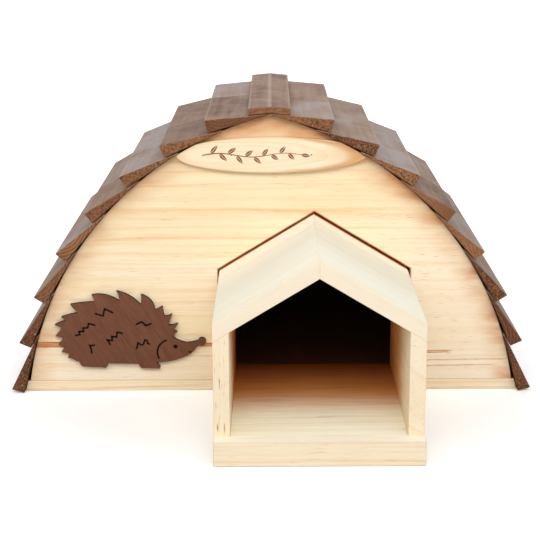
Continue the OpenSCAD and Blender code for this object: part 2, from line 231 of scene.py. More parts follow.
def pine_grain(wood, place, pale, warm, line, ring, wander, lean, bold, fleck):
    """The colour, fibres and height of planed pine, whose rings differ and fade in and out.

    The rings lie ring mm apart, wander by about so many mm, and lean into the board. bold and
    fleck say how strongly the rings and the dark flecks show."""
    across = place.dot((0, 1, 0))
    deep = place.dot((0, 0, 1))
    drift = place.mottle(400, 30, 3.0) * (wander * 1.6) + place.mottle(60, 8, 1.0) * (wander * 0.08)
    count = (across + deep * lean + drift) / ring
    within = count.part()
    number = count.whole()
    late = within.rise(0.55, 0.95) * (1 - within.rise(0.96, 1.0))
    chance = number.lot(3.0)
    fade = place.mottle(90, 8, 2.0) + 0.65
    rings = late * (chance * chance * 0.85 + 0.1) * fade
    hairs = place.mottle(110, 1.8, 2.0, 0.6)
    fibres = place.mottle(26, 0.8, 3.0, 0.65)
    dashes = place.mottle(16, 1.3, 2.0, 0.6).rise(0.2, 0.42) * (rings * 1.5 + 0.25)
    flecks = place.mottle(18, 1.8, 1.0).rise(0.3, 0.48) * place.mottle(50, 14).rise(-0.1, 0.3)
    body = wood.tint(place.mottle(170, 34, 3.0) * 1.2 + 0.5, pale, warm)
    body = wood.tint(within * number.lot(8.0) * bold * 0.6, body, warm)
    body = wood.tint(hairs.rise(0.0, 0.45) * bold * 0.25, body, line)
    body = wood.tint(rings * bold * 0.75, body, line)
    body = wood.tint(dashes * bold * 0.8, body, line)
    body = wood.tint(flecks * fleck, body, line)
    body = wood.shade(body, 1 + fibres * 0.06)
    height = fibres * 0.3 + 0.5 - late * 0.2 - flecks * 0.3
    return body, fibres, height


def pine(
    name,
    pale,
    warm,
    line,
    ring=11.0,
    wander=7.0,
    lean=0.3,
    bold=0.6,
    fleck=0.3,
    specks=0.0,
    front=None,
    inward=None,
    painted_warm_shade=rgb(230, 150, 64),
    dim=0.7,
    hidden=None,
):
    """Planed pine, with as many fine specks as specks says.

    Faces that look out of the entrance lean to the colour front, a painted shade that keeps them
    darker than the tops, and those that look the way hidden says are painted brown, a painted
    shade of the dark nest. With inward, the way that a board of the tunnel looks into it, wood
    behind the front board's face is painted orange, a painted warm glow in the shaded gap round the
    opening, and the inner face turns to its painted warm shade and then, as far as dim says, to
    brown the deeper it lies: painted light and shade that fall off into the tunnel."""
    wood = Finish(name, Specular_IOR_Level=0.1)
    place = wood.place()
    if front:
        # Painted shade: faces that look out of the entrance are painted darker than the tops, toward
        # the colour front
        forward = wood.toward((0, -1, 0)).rise(0.5, 0.9) * 0.6
        pale = wood.tint(forward, pale, front)
        warm = wood.tint(forward, warm, front)
    body, fibres, height = pine_grain(wood, place, pale, warm, line, ring, wander, lean, bold, fleck)
    if specks:
        spots = place.mottle(8, 1.3, 2.0).rise(0.2, 0.5)
        body = wood.tint(spots * specks, body, line)
    body = wood.tint(wood.wear_and_shade() * 0.3, body, line)
    if hidden:
        # Painted shade: faces that look the way hidden says are painted brown, for the dark of the
        # nest
        painted_nest_shade = rgb(128, 92, 66)
        body = wood.tint(wood.toward(hidden).rise(0.5, 0.9) * 0.95, body, painted_nest_shade)
    if inward:
        # Painted light and shade in the tunnel: wood behind the front board's face is painted orange,
        # a warm glow for the shaded gap round the opening, and inner faces darken to orange and then
        # brown with depth, as painted shade. The grooves are grain, shown more strongly with depth.
        painted_gap_warmth = rgb(255, 160, 84)
        painted_deep_shade = rgb(124, 54, 22)
        depth = wood.spot().dot((0, 1, 0))
        inner = wood.toward(inward).rise(0.5, 0.9)
        body = wood.tint(depth.rise(-31.5, -29) * 0.9, body, painted_gap_warmth)
        body = wood.tint(inner * depth.rise(-142, -75) * 0.9, body, painted_warm_shade)
        body = wood.tint(inner * depth.rise(-95, 0) * dim, body, painted_deep_shade)
        grooves = place.mottle(55, 1.1, 2.0).rise(0.05, 0.45)
        grooved = grooves * (depth.rise(-160, -100) * 0.3 + 0.05)
        body = wood.shade(body, 1 - inner * grooved)
    return wood.done(
        Base_Color=body,
        Roughness=0.6 + fibres * 0.08,
        Normal=wood.relief(height, 0.1),
    )


def eased(name, node, width, least=0.8):
    """A copy of a CAD solid with its edges eased by width mm. Those under least mm long, such
    as the short ones round a nail hole, stay sharp."""
    same_point = 0.001 * MM
    flat = 0.001
    sharp_fold = math.radians(20)
    bm = bmesh.new()
    bm.from_mesh(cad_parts[node].data)
    bmesh.ops.remove_doubles(bm, verts=bm.verts, dist=same_point)
    bmesh.ops.dissolve_limit(bm, angle_limit=flat, verts=bm.verts, edges=bm.edges)
    sharp = [
        edge
        for edge in bm.edges
        if len(edge.link_faces) == 2
        and edge.calc_face_angle() > sharp_fold
        and edge.calc_length() > least * MM
    ]
    for face in bm.faces:
        face.material_index = 0
    bmesh.ops.bevel(
        bm,
        geom=sharp,
        offset=width * MM,
        offset_type="OFFSET",
        segments=2,
        profile=0.5,
        affect="EDGES",
        clamp_overlap=True,
        material=1,
    )
    bmesh.ops.recalc_face_normals(bm, faces=bm.faces)
    mesh = bpy.data.meshes.new(name)
    bm.to_mesh(mesh)
    bm.free()
    wear_and_shade = mesh.attributes.new("wear_and_shade", "FLOAT", "FACE")
    wear_and_shade.data.foreach_set("value", [float(face.material_index) for face in mesh.polygons])
    for face in mesh.polygons:
        face.material_index = 0
        face.use_smooth = False
    return bpy.data.objects.new(name, mesh)


# Each board is cut from its own stretch of wood, this far along and across the grain from the
# last one, so that no two show the same rings
board_step_along = 613.0
board_step_across = 170.3


def lay_grain(piece, along, across, board, start=(0, 0, 0)):
    """Writes each vertex's place in its board, from start: mm along, across and into the grain."""
    along = Vector(along).normalized()
    across = Vector(across).normalized()
    deep = along.cross(across)
    attribute = piece.data.attributes.new("grain", "FLOAT_VECTOR", "POINT")
    for vertex, value in zip(piece.data.vertices, attribute.data):
        place = vertex.co / MM - Vector(start)
        value.vector = (
            place.dot(along) + board_step_along * board,
            place.dot(across) + board_step_across * board,
            place.dot(deep),
        )


def stand_in(piece, node, material):
    """Shows a piece in place of a CAD node, with its finish."""
    bpy.context.scene.collection.objects.link(piece)
    piece.data.materials.clear()
    piece.data.materials.append(material)
    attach(piece, "root")
    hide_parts(node)


floor_pine = pine(
    "floor_board_pine",
    pale=rgb(255, 241, 213),
    warm=rgb(253, 231, 192),
    line=rgb(228, 160, 100),
    ring=5.0,
    bold=0.9,
    # The floor board's top is painted brown as painted shade of the nest
    hidden=(0, 0, 1),
)
floor_board = eased("floor_board_eased", "floor_board", width=0.2)
lay_grain(floor_board, (1, 0, 0), (0, 0.25, 1), board=1)
stand_in(floor_board, "floor_board", floor_pine)

# Front end board
# A pine board cut to a pointed arch by a laser, which browned its edges. Its grain runs
# level, and the gabled opening lets the tunnel through.

# The arch's two edges are arcs of one radius, each centred past the middle of the board
arch_r = 274.0
arch_half = 202.5
arch_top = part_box("front_panel")[1].z / MM
chord = math.hypot(arch_half, arch_top)
from_chord = math.sqrt(arch_r ** 2 - chord ** 2 / 4)
arc_x = from_chord * arch_top / chord - arch_half / 2
arc_z = arch_top / 2 - from_chord * arch_half / chord
tunnel_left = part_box("tunnel_roof_left")
tunnel_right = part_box("tunnel_roof_right")
opening_gap = 1.6
opening_shift = 0.5
gable_slope = math.radians(31.3)
opening = (
    tunnel_left[1].x / MM + opening_shift,
    (tunnel_right[1].x - tunnel_left[0].x) / 2 / MM + opening_gap,
    tunnel_left[1].z / MM + opening_gap / math.cos(gable_slope),
    gable_slope,
)


def end_board_pine(name, board_streaks, opening=None):
    """Pine with level rings, browned edges, painted shade along the arch and on the rear board's
    inner face, and streaks of (x, z, length, height, colour).

    opening holds the middle, half width, top and slope of the tunnel's opening."""
    wood = Finish(name, Specular_IOR_Level=0.1)
    place = wood.place()
    spot = wood.spot()
    along = spot.dot((1, 0, 0))
    across = spot.dot((0, 0, 1))
    pale = wood.tint(across.rise(60, 170), rgb(255, 240, 218), rgb(255, 243, 212))
    butter = rgb(254, 233, 194)
    line = rgb(238, 174, 108)
    body, fibres, height = pine_grain(
        wood, place, pale, butter, line, ring=11.0, wander=7.0, lean=0.4, bold=0.85, fleck=0.6
    )
    out = abs(along) + arc_x
    up = across - arc_z
    from_arch = arch_r - (out * out + up * up).root()

    # A pink blush to the right, a paler foot there, and a yellower middle under the peak
    blush = place.mottle(46, 20, 3.0).rise(0.0, 0.6) * along.rise(-60, 190)
    body = wood.tint(blush * 0.15, body, rgb(248, 206, 160))
    low_right = along.rise(60, 150) * (1 - across.rise(100, 190))
    body = wood.tint(low_right * 0.5, body, rgb(255, 241, 220))
    middle_high = (1 - abs(along).rise(60, 150)) * across.rise(110, 150)
    body = wood.tint(middle_high * 0.12, body, rgb(250, 222, 164))

    # Level bands, each of its own strength, bolder high up, and short brown ticks
    band_height = 7.6
    level = across / band_height + place.mottle(150, 16, 2.0) * 0.7
    bands = level.part().bell(0.5, 0.3) * (level.whole().lot(5.0) * 0.6 + 0.2)
    bands = bands * (place.mottle(70, 6, 2.0) + 0.8) * (across.rise(60, 150) * 0.6 + 0.12)
    body = wood.tint(bands, body, rgb(241, 198, 136))
    ticks = place.mottle(12, 0.8, 1.0).rise(0.34, 0.5) * (along.rise(-40, 160) * 0.35 + 0.2)
    body = wood.tint(ticks, body, rgb(206, 140, 84))

    # Painted shade along the arch, under the slats that overhang it: a warm band, and brown clouds
    # strongest near the peak
    clouds = place.mottle(44, 14, 3.0).rise(-0.3, 0.4) * (along.rise(-60, 60) * 0.3 + 0.5)
    peak_shade = across.rise(140, 226) * 0.38 + across.rise(205, 230) * 0.2
    body = wood.tint((1 - from_arch.rise(0, 26)) * 0.35, body, rgb(250, 206, 154))
    arch_shade = (1 - from_arch.rise(0, 22)) * (clouds + peak_shade)
    body = wood.tint(arch_shade, body, rgb(216, 146, 92))

    # Streaks of darker wood with ragged, browner rims
    ragged = place.mottle(7, 1.2, 3.0)
    rim_brown = rgb(150, 76, 36)
    for x, z, length, height_mm, colour in board_streaks:
        reach = abs(along - x) / (length / 2) + ragged * 0.3
        thick = abs(across - z - (along - x) * 0.01 + ragged * 0.5) / (height_mm / 2)
        streak = (1 - reach.rise(0.8, 1.1)) * (1 - thick.rise(0.6, 1.1))
        body = wood.tint(streak * (fibres * 0.9 + 0.8), body, colour)
        rim = thick.bell(0.75, 0.4) * (ragged * 1.2 + 0.7)
        body = wood.tint(streak * rim, body, rim_brown)

    # Edges browned by the laser, with a thin halo on the face round them. Round the tunnel's opening
    # the halo is wider and darker: laser browning, and painted shade of the dark gap beside it
    scorch = place.mottle(9, 9, 3.0) * 0.4 + 0.85
    if opening:
        middle, half, top, slope = opening
        over = (across - top + abs(along - middle) * math.tan(slope)) * math.cos(slope)
        halo = 1 - over.most(abs(along - middle) - half).rise(0.4, 1.5)
        body = wood.tint(halo * scorch, body, rgb(156, 80, 36))
    halo = 1 - from_arch.rise(0.1, 0.8)
    body = wood.tint(halo * scorch * 0.4, body, rgb(206, 138, 80))
    edge = 1 - abs(wood.toward((0, 1, 0))).rise(0.25, 0.5)
    burnt = wood.tint(place.mottle(16, 16, 2.0) + 0.5, rgb(212, 126, 66), rgb(156, 88, 46))
    body = wood.tint(edge * scorch, body, burnt)

    # Painted shade: the rear board's inner face, which lies in the dark of the nest, is painted near
    # black
    within = wood.toward((0, -1, 0)).rise(0.5, 0.9) * spot.dot((0, 1, 0)).rise(20, 60)
    body = wood.tint(within * 0.99, body, rgb(46, 26, 16))
    return wood.done(
        Base_Color=body,
        Roughness=0.6 + fibres * 0.08,
        Normal=wood.relief(height, 0.1),
    )


front_streaks = [
    (-185, 40.5, 50, 5.4, rgb(204, 122, 64)),
    (-45, 40, 40, 3.6, rgb(206, 126, 68)),
    (134, 33, 32, 2.6, rgb(222, 156, 96)),
    (162, 26, 70, 1.1, rgb(238, 192, 138)),
    (150, 21, 76, 1.0, rgb(238, 192, 138)),
]
front_board = eased("front_board_eased", "front_panel", width=0.35)
lay_grain(front_board, (1, 0, 0), (0, 0, 1), board=0)
front_pine = end_board_pine("front_board_pine", front_streaks, opening)
stand_in(front_board, "front_panel", front_pine)

# Rear end board
# The same arch without an opening, cut from the same pine and nailed to the floor board
# from below. Its grain runs level too.

rear_streaks = [(60, 120, 60, 4.0, rgb(200, 140, 90))]
rear_board = eased("rear_board_eased", "rear_panel", width=0.35)
lay_grain(rear_board, (1, 0, 0), (0, 0.12, 1), board=2)
stand_in(rear_board, "rear_panel", end_board_pine("rear_board_pine", rear_streaks))

# Roof slats
# Sixteen wedges sawn from softwood and stained grey brown, laid like shingles with the
# thick edge down and nailed to the end boards. Their ends are sawn and drank more stain.


def front_outline(node):
    """The outline of a CAD solid's front end, as its corners in order."""
    near_enough = 0.02
    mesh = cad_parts[node].data
    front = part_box(node)[0].y / MM
    corners = [tuple(round(c / MM, 4) for c in vertex.co) for vertex in mesh.vertices]
    edges = set()
    for face in mesh.polygons:
        ring = [corners[i] for i in face.vertices]
        if all(abs(y - front) < near_enough for _, y, _ in ring):
            edges.update(zip(ring, ring[1:] + ring[:1]))
    border = {a: b for a, b in edges if (b, a) not in edges}
    start = min(border)
    outline = [start]
    while border[outline[-1]] != start:
        outline.append(border[outline[-1]])
    return [Vector((x, z)) for x, _, z in outline]


def along_side(start, end, ease_start, ease_end):
    """Points along one side of an outline, closer together near its eased corners."""
    step = 7.0
    corner_reach = 2.4
    length = (end - start).length
    toward = (end - start) / length
    near = min(corner_reach, length * 0.3)
    count = max(1, round((length - 2 * near) / step))
    reaches = [ease_start, near]
    reaches += [near + (length - 2 * near) * k / count for k in range(1, count)]
    reaches += [length - near, length - ease_end]
    return [start + toward * reach for reach in reaches]


def sawn(name, corners, eases, front, back, seed, wear, sides):
    """A sawn length of wood: an eased outline swept along Y, uneven by a fraction of a mm.

    eases holds how far each corner is eased, and wear how rubbed it is, from 0 to 1. sides holds
    how rubbed the ends' rims are along the side after each corner. -1 is an underside, which is flat
    and painted dark brown as painted shade."""
    ring = []
    wear_and_shade = []
    rims = []
    for k, corner in enumerate(corners):
        following = (k + 1) % len(corners)
        points = along_side(corner, corners[following], eases[k], eases[following])
        ring += points
        # Along an underside the mark is -1, which has it painted dark as painted shade
        wear_and_shade += [wear[k]] + [min(sides[k], 0.0)] * (len(points) - 2) + [wear[following]]
        rims += [sides[k]] * len(points)
    size = len(ring)
    inward = []
    for k in range(size):
        side = ring[(k + 1) % size] - ring[k - 1]
        inward.append(Vector((-side.y, side.x)).normalized())
    middle = sum(ring, Vector((0, 0))) / size
    if (middle - ring[0]).dot(inward[0]) < 0:
        inward = [-way for way in inward]

    # Rings of points at these reaches from the front end, each drawn in by so much
    length = back - front
    spacing = 9.0
    rim_depth = 0.5
    rim_draw = 0.45
    end_depth = 2.2
    count = round(length / spacing)
    stations = [(0.0, rim_draw), (rim_depth, 0.05), (end_depth, 0.0)]
    stations += [(end_depth + (length - 2 * end_depth) * k / count, 0.0) for k in range(1, count)]
    stations += [(length - end_depth, 0.0), (length - rim_depth, 0.05), (length, rim_draw)]
    uneven = 0.2
    splinters = 0.35
    end_dent = 0.3
    bm = bmesh.new()
    wear_layer = bm.verts.layers.float.new("wear_and_shade")
    rings = []

    def add(point, y, amount):
        vertex = bm.verts.new(Vector((point.x, y, point.y)) * MM)
        vertex[wear_layer] = amount
        return vertex

    for reach, draw in stations:
        y = front + reach
        made = []
        for point, way, amount, rim in zip(ring, inward, wear_and_shade, rims):
            broad = Vector((point.x * 0.11, y * 0.035, point.y * 0.11 + seed * 7.3))
            fine = Vector((point.x * 0.5, y * 0.5, point.y * 0.5 + seed * 3.1))
            dent = uneven * (0.5 + 0.5 * noise.noise(broad)) + uneven * 0.4 * abs(noise.noise(fine))
            ragged = 0.0
            if reach <= rim_depth:
                ragged = splinters * abs(noise.noise(fine * 1.7))
            if reach >= length - rim_depth:
                ragged = -splinters * abs(noise.noise(fine * 1.7))
            if draw == rim_draw:
                amount = max(amount, rim)
            if rim < 0:
                dent = 0.0
            made.append(add(point + way * (draw + dent), y + ragged, amount))
        rings.append(made)
    for near_ring, far_ring in zip(rings, rings[1:]):
        for k in range(size):
            j = (k + 1) % size
            bm.faces.new((near_ring[k], near_ring[j], far_ring[j], far_ring[k]))

    # Each end is closed by two smaller rings, dented by the saw, and a hub
    for end_ring, y, way in ((rings[0], front, 1), (rings[-1], back, -1)):
        outer = end_ring
        for share in (0.62, 0.28):
            inner = []
            for k in range(size):
                point = middle + (ring[k] - middle) * share
                fine = Vector((point.x * 0.6, point.y * 0.6, seed * 5.7 + y))
                inner.append(add(point, y + way * end_dent * abs(noise.noise(fine)), 0.0))
            for k in range(size):
                j = (k + 1) % size
                bm.faces.new((outer[k], outer[j], inner[j], inner[k]))
            outer = inner
        hub = add(middle, y + way * 0.1, 0.0)
        for k in range(size):
            bm.faces.new((outer[k], outer[(k + 1) % size], hub))
    bmesh.ops.recalc_face_normals(bm, faces=bm.faces)
    mesh = bpy.data.meshes.new(name)
    bm.to_mesh(mesh)
    bm.free()
    for face in mesh.polygons:
        face.use_smooth = True
    mesh.set_sharp_from_angle(angle=math.radians(50))
    return bpy.data.objects.new(name, mesh)


def stained_softwood(name):
    """Stained, sawn softwood. The stain attribute holds a piece's tones, from 0, grey, to 1,
    dark brown, in front of and behind the line where two coats meet, and the place of that
    line. The sawn attribute holds how dark, how speckled and how ringed its ends are."""
    wood = Finish(name, Specular_IOR_Level=0.12)
    place = wood.place()
    spot = wood.spot()
    y = spot.dot((0, 1, 0))
    across = place.dot((0, 1, 0))
    deep = place.dot((0, 0, 1))
    board = (across / board_step_across + 0.2).whole()
    stain = wood.node("ShaderNodeAttribute", {"attribute_name": "stain"}, {}, "Vector")
    front_tone = stain.dot((1, 0, 0))
    back_tone = stain.dot((0, 1, 0))
    from_lap = y - stain.dot((0, 0, 1)) + place.mottle(30, 30) * 1.5

    # Faces: grey to brown stain in streaks and clouds, with a pale rim where its coats meet,
    # whitish bloom and a few slanting scratches
    streaks = place.mottle(130, 6, 3.0, 0.6)
    fibres = place.mottle(24, 0.9, 3.0, 0.7)
    clouds = place.turned(28).mottle(60, 30, 2.0)
    tone = front_tone + (back_tone - front_tone) * from_lap.rise(-0.5, 0.5)
    tone = tone + streaks * 0.35 + clouds * 0.5
    body = wood.tint(tone * 2, rgb(166, 153, 149), rgb(146, 118, 99))
    body = wood.tint(tone * 2 - 1, body, rgb(90, 60, 45))
    bloom = place.turned(-35).mottle(26, 12, 3.0, 0.65).rise(0.1, 0.6)
    body = wood.tint(bloom * 0.3, body, rgb(180, 168, 164))
    body = wood.tint(from_lap.bell(0.8, 1.2) * 0.5, body, rgb(188, 170, 154))
    body = wood.tint(from_lap.bell(-3.5, 5.0) * clouds.rise(-0.2, 0.3) * 0.5, body, rgb(98, 70, 54))
    scratches = place.turned(52).mottle(70, 1.8, 1.0).rise(0.36, 0.46) * clouds.rise(-0.1, 0.3)
    body = wood.tint(scratches * 0.4, body, rgb(206, 194, 186))
    body = wood.shade(body, 1 + fibres * 0.14)

    # Ends: rings about a centre outside the board, with dark pits and light specks
    sawn_end = wood.node("ShaderNodeAttribute", {"attribute_name": "sawn"}, {}, "Vector")
    dark = sawn_end.dot((1, 0, 0))
    speckled = sawn_end.dot((0, 1, 0))
    ringed = sawn_end.dot((0, 0, 1))
    arc_across = across - board * board_step_across - 20
    arc_deep = deep + 26
    ring_width = 2.8
    from_pith = (arc_across * arc_across + arc_deep * arc_deep).root()
    rings = (from_pith / ring_width + clouds * 0.9).part()
    pores = place.mottle(60, 1.6, 3.0, 0.8)
    pits = place.mottle(60, 1.9, 3.0, 0.75).rise(0.04, 0.22)
    specks = place.mottle(60, 1.2, 2.0, 0.75, deep=1.3).rise(0.1, 0.28)
    end_body = wood.tint(dark + clouds * 0.3, rgb(158, 108, 72), rgb(82, 44, 31))
    end_body = wood.tint(rings.rise(0.4, 0.95) * ringed * 0.6, end_body, rgb(88, 50, 32))
    end_body = wood.tint((1 - rings.rise(0.1, 0.3)) * ringed * 0.4, end_body, rgb(200, 158, 122))
    end_body = wood.tint(pits * (speckled * 0.65 + 0.1), end_body, rgb(56, 28, 19))
    end_body = wood.tint(specks * (speckled * 0.55 + 0.05), end_body, rgb(206, 152, 112))
    end_body = wood.shade(end_body, 1 + pores * 0.5)

    # Undersides painted dark brown as painted shade, pale edges where the stain is rubbed off, and the
    # ends
    end = abs(wood.toward((0, 1, 0))).rise(0.5, 0.75)
    wear_and_shade = wood.wear_and_shade()
    # Painted shade: -1 marks an underside, which is painted dark brown
    body = wood.tint((wear_and_shade * -1).rise(0.2, 0.8), body, rgb(54, 34, 24))
    body = wood.tint(wear_and_shade * 0.5 * (streaks * 0.6 + 0.8), body, rgb(202, 182, 166))
    body = wood.tint(end, body, end_body)
    height = fibres * 0.35 + streaks * 0.3 + end * (pores * 0.6 - pits * speckled)
    return wood.done(
        Base_Color=body,
        Roughness=0.62 + fibres * 0.1 + end * 0.2,
        Normal=wood.relief(height, 0.3),
    )


def soak_stain(piece, front_tone, back_tone, lap, sawn_end):
    """Writes a piece's tones of stain, the place where they meet, and the look of its ends."""
    for name, values in (("stain", (front_tone, back_tone, lap)), ("sawn", sawn_end)):
        attribute = piece.data.attributes.new(name, "FLOAT_VECTOR", "POINT")
        for value in attribute.data:
            value.vector = values


roof_stain = stained_softwood("roof_stain")
roof_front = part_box("slat_left_1")[0].y / MM
roof_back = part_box("slat_left_1")[1].y / MM
slat_count = sum(name.startswith("slat_left_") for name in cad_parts)
lap_place = 60.0
top_lap_place = 96.0
inside_house = Vector((0, 80))


def from_inside(corner):
    """How far a corner of a slat's outline lies from a point inside the house."""
    return (corner - inside_house).length


# Each slat from the lowest up: its tones in front of and behind the line between its coats,
# the place of that line, and how dark, speckled and ringed its ends are
slat_looks = {
    "left": [
        (0.55, 0.35, lap_place, (0.75, 1.0, 0.2)),
        (0.3, 0.3, lap_place, (0.7, 0.9, 0.2)),
        (0.35, 0.4, lap_place, (0.4, 0.5, 0.6)),
        (0.15, 0.25, lap_place, (0.15, 0.2, 1.0)),
        (0.45, 0.3, lap_place, (0.45, 0.8, 0.2)),
        (0.2, 0.15, lap_place, (0.4, 0.8, 0.1)),
        (0.75, 0.65, lap_place, (0.2, 0.7, 0.1)),
        (0.68, 0.3, top_lap_place, (0.7, 0.0, 0.3)),
    ],
    "right": [
        (0.55, 0.45, lap_place, (0.7, 1.0, 0.1)),
        (0.35, 0.25, lap_place, (0.85, 0.2, 0.5)),
        (0.35, 0.5, lap_place, (0.7, 0.8, 0.2)),
        (0.2, 0.35, lap_place, (0.15, 0.3, 0.5)),
        (0.7, 0.4, lap_place, (0.25, 0.1, 0.3)),
        (0.1, 0.15, lap_place, (0.1, 0.9, 0.5)),
        (0.4, 0.4, lap_place, (0.65, 1.0, 0.0)),
        (0.35, 0.6, lap_place, (0.3, 0.9, 0.0)),
    ],
}
for side_number, side in enumerate(("left", "right")):
    for i in range(1, slat_count + 1):
        node = f"slat_{side}_{i}"
        outline = front_outline(node)
        lengths = [(outline[k] - outline[k - 1]).length for k in range(4)]
        thin = lengths.index(min(lengths))
        tips = sorted((outline[thin], outline[thin - 1]), key=from_inside)
        butts = sorted((corner for corner in outline if corner not in tips), key=from_inside)
        corners = [butts[0], butts[1], tips[1], tips[0]]
        board = 3 + i + side_number * slat_count
        slat = sawn(
            f"{node}_sawn",
            corners,
            eases=[0.4, 0.7, 0.3, 0.3],
            front=roof_front,
            back=roof_back,
            seed=board,
            wear=[0.0, 1.0, 0.3, 0.0],
            sides=[0.3, 1.0, 0.0, -1.0],
        )
        up_slope = tips[0] - butts[0]
        foot = (butts[0].x, 0, butts[0].y)
        lay_grain(slat, (0, 1, 0), (up_slope.x, 0, up_slope.y), board=board, start=foot)
        soak_stain(slat, *slat_looks[side][(i - 1) % len(slat_looks[side])])
        stand_in(slat, node, roof_stain)

# Ridge batten
# A shallow chevron planed from one strip and stained like the slats. It covers the joint
# between the top slats and is nailed through them into the end boards.

batten_outline = front_outline("ridge_batten")
batten_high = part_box("ridge_batten")[1].z / MM
batten_wear = [1.0 if corner.y > batten_high - 3 else 0.0 for corner in batten_outline]
batten_sides = []
for corner, following in zip(batten_outline, batten_outline[1:] + batten_outline[:1]):
    batten_sides.append(1.0 if (corner + following).y / 2 > batten_high - 6 else 0.0)
batten = sawn(
    "ridge_batten_sawn",
    batten_outline,
    eases=[0.5] * len(batten_outline),
    front=roof_front,
    back=roof_back,
    seed=31,
    wear=batten_wear,
    sides=batten_sides,
)
lay_grain(batten, (0, 1, 0), (1, 0, 0), board=24)
soak_stain(batten, 0.7, 0.65, lap_place, (0.3, 0.3, 0.3))
stand_in(batten, "ridge_batten", roof_stain)

# Nails
# Thin round wire nails with small flat heads, dulled by zinc, through the slats, the
# batten, the floor and the tunnel. Two headless pins hold the plaque.


def nail_metal(name, dull, bright, **constants):
    """Blotched metal, or the stain over it, with a little rust."""
    metal = Finish(name, **constants)
    spot = metal.spot()
    spangle = spot.mottle(0.8, 0.8, 3.0)
    rust = spot.mottle(2.4, 2.4, 2.0).rise(0.2, 0.5)
    body = metal.tint(spangle + 0.5, dull, bright)
    body = metal.tint(rust * 0.4, body, rgb(104, 72, 52))
    return metal.done(Base_Color=body, Roughness=0.4 + spangle * 0.15 + rust * 0.2)


zinc = nail_metal("zinc_wire", rgb(118, 112, 106), rgb(170, 166, 160), Metallic=1.0)
stained_heads = nail_metal("stained_nail_heads", rgb(104, 84, 71), rgb(138, 116, 101), Metallic=0.2)
for node, metal in (
    ("slat_nails", stained_heads),
    ("ridge_nails", stained_heads),
    ("foot_nails", zinc),
    ("tunnel_wall_nails", zinc),
    ("tunnel_tongue_nails", zinc),
    ("plaque_pins", zinc),
):
    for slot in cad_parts[node].material_slots:
        slot.material = metal

# Tunnel floor
# A pine board between the tunnel's walls, with its grain across the tunnel. It runs back
# over the floor board to the inside of the front board.

tunnel_floor = eased("tunnel_floor_eased", "tunnel_floor", width=0.3)
lay_grain(tunnel_floor, (1, 0, 0), (0, 1, 0.3), board=25)
tunnel_floor_pine = pine(
    "tunnel_floor_pine",
    pale=rgb(255, 252, 234),
    warm=rgb(255, 247, 218),
    line=rgb(222, 162, 106),
    ring=13.0,
    wander=10.0,
    lean=0.5,
    bold=0.75,
    inward=(0, 0, 1),
)
stand_in(tunnel_floor, "tunnel_floor", tunnel_floor_pine)

# Tunnel walls
# Two pine boards on edge, cut to the roof's slope along the top. The left one has its
# grain upright and the right one has it front to back, so its front shows end grain.

left_wall = eased("tunnel_wall_left_eased", "tunnel_wall_left", width=0.3)
lay_grain(left_wall, (0, 0.05, 1), (1, 0, 0), board=26)
left_wall_pine = pine(
    "left_wall_pine",
    pale=rgb(251, 236, 208),
    warm=rgb(249, 229, 194),
    line=rgb(190, 134, 84),
    ring=12.0,
    wander=5.0,
    lean=0.9,
    bold=0.2,
    fleck=1.0,
    specks=0.3,
    inward=(1, 0, 0),
    # The inner face's painted warm shade, and how far it dims to a painted brown shade with depth
    painted_warm_shade=rgb(252, 172, 92),
    dim=0.2,
)
stand_in(left_wall, "tunnel_wall_left", left_wall_pine)

right_wall = eased("tunnel_wall_right_eased", "tunnel_wall_right", width=0.3)
lay_grain(right_wall, (0, 1, 0), (0, 0, 1), board=27)
right_wall_pine = pine(
    "right_wall_pine",
    pale=rgb(252, 237, 208),
    warm=rgb(250, 231, 198),
    line=rgb(224, 172, 118),
    ring=15.0,
    wander=8.0,
    lean=0.4,
    bold=0.4,
    fleck=0.4,
    specks=0.5,
    inward=(-1, 0, 0),
    # The inner face's painted warm shade, and how far it dims to a painted brown shade with depth
    painted_warm_shade=rgb(255, 192, 120),
    dim=0.05,
)
stand_in(right_wall, "tunnel_wall_right", right_wall_pine)

# Tunnel roof
# Two pine boards mitred at the ridge and cut upright at the eaves, glued to the walls.
# Their grain runs down the slope.

rise = math.tan(gable_slope)
for number, side in enumerate(("left", "right")):
    node = f"tunnel_roof_{side}"
    roof_board = eased(f"{node}_eased", node, width=0.3)
    outward = -1 if side == "left" else 1
    lay_grain(roof_board, (outward, 0, -rise), (0, 1, 0), board=28 + number)
    roof_pine = pine(
        f"{node}_pine",
        pale=rgb(255, 252, 238),
        warm=rgb(255, 249, 228),
        line=rgb(246, 206, 154),
        ring=22.0,
        wander=9.0,
        lean=0.6,
        bold=0.4,
        # front is the painted shade of the boards' front faces
        front=rgb(244, 222, 191),
        inward=(-outward * math.sin(gable_slope), 0, -math.cos(gable_slope)),
    )
    stand_in(roof_board, node, roof_pine)

# Threshold
# A narrow pine board across the tunnel's mouth, glued on, with its top edge eased by
# sanding.

threshold = eased("threshold_eased", "threshold", width=0.5)
lay_grain(threshold, (1, 0, 0), (0, 0.4, 1), board=30)
threshold_pine = pine(
    "threshold_pine",
    pale=rgb(255, 251, 236),
    warm=rgb(255, 246, 222),
    line=rgb(212, 150, 96),
    ring=6.5,
    wander=6.0,
    bold=0.85,
    # front is the painted shade of the board's front face
    front=rgb(249, 225, 186),
)
stand_in(threshold, "threshold", threshold_pine)

# Oval plaque
# A thin oval of plywood with a rounded face edge, pinned under the ridge. Its face veneer
# shows the long loops of a board cut near the middle of the log.


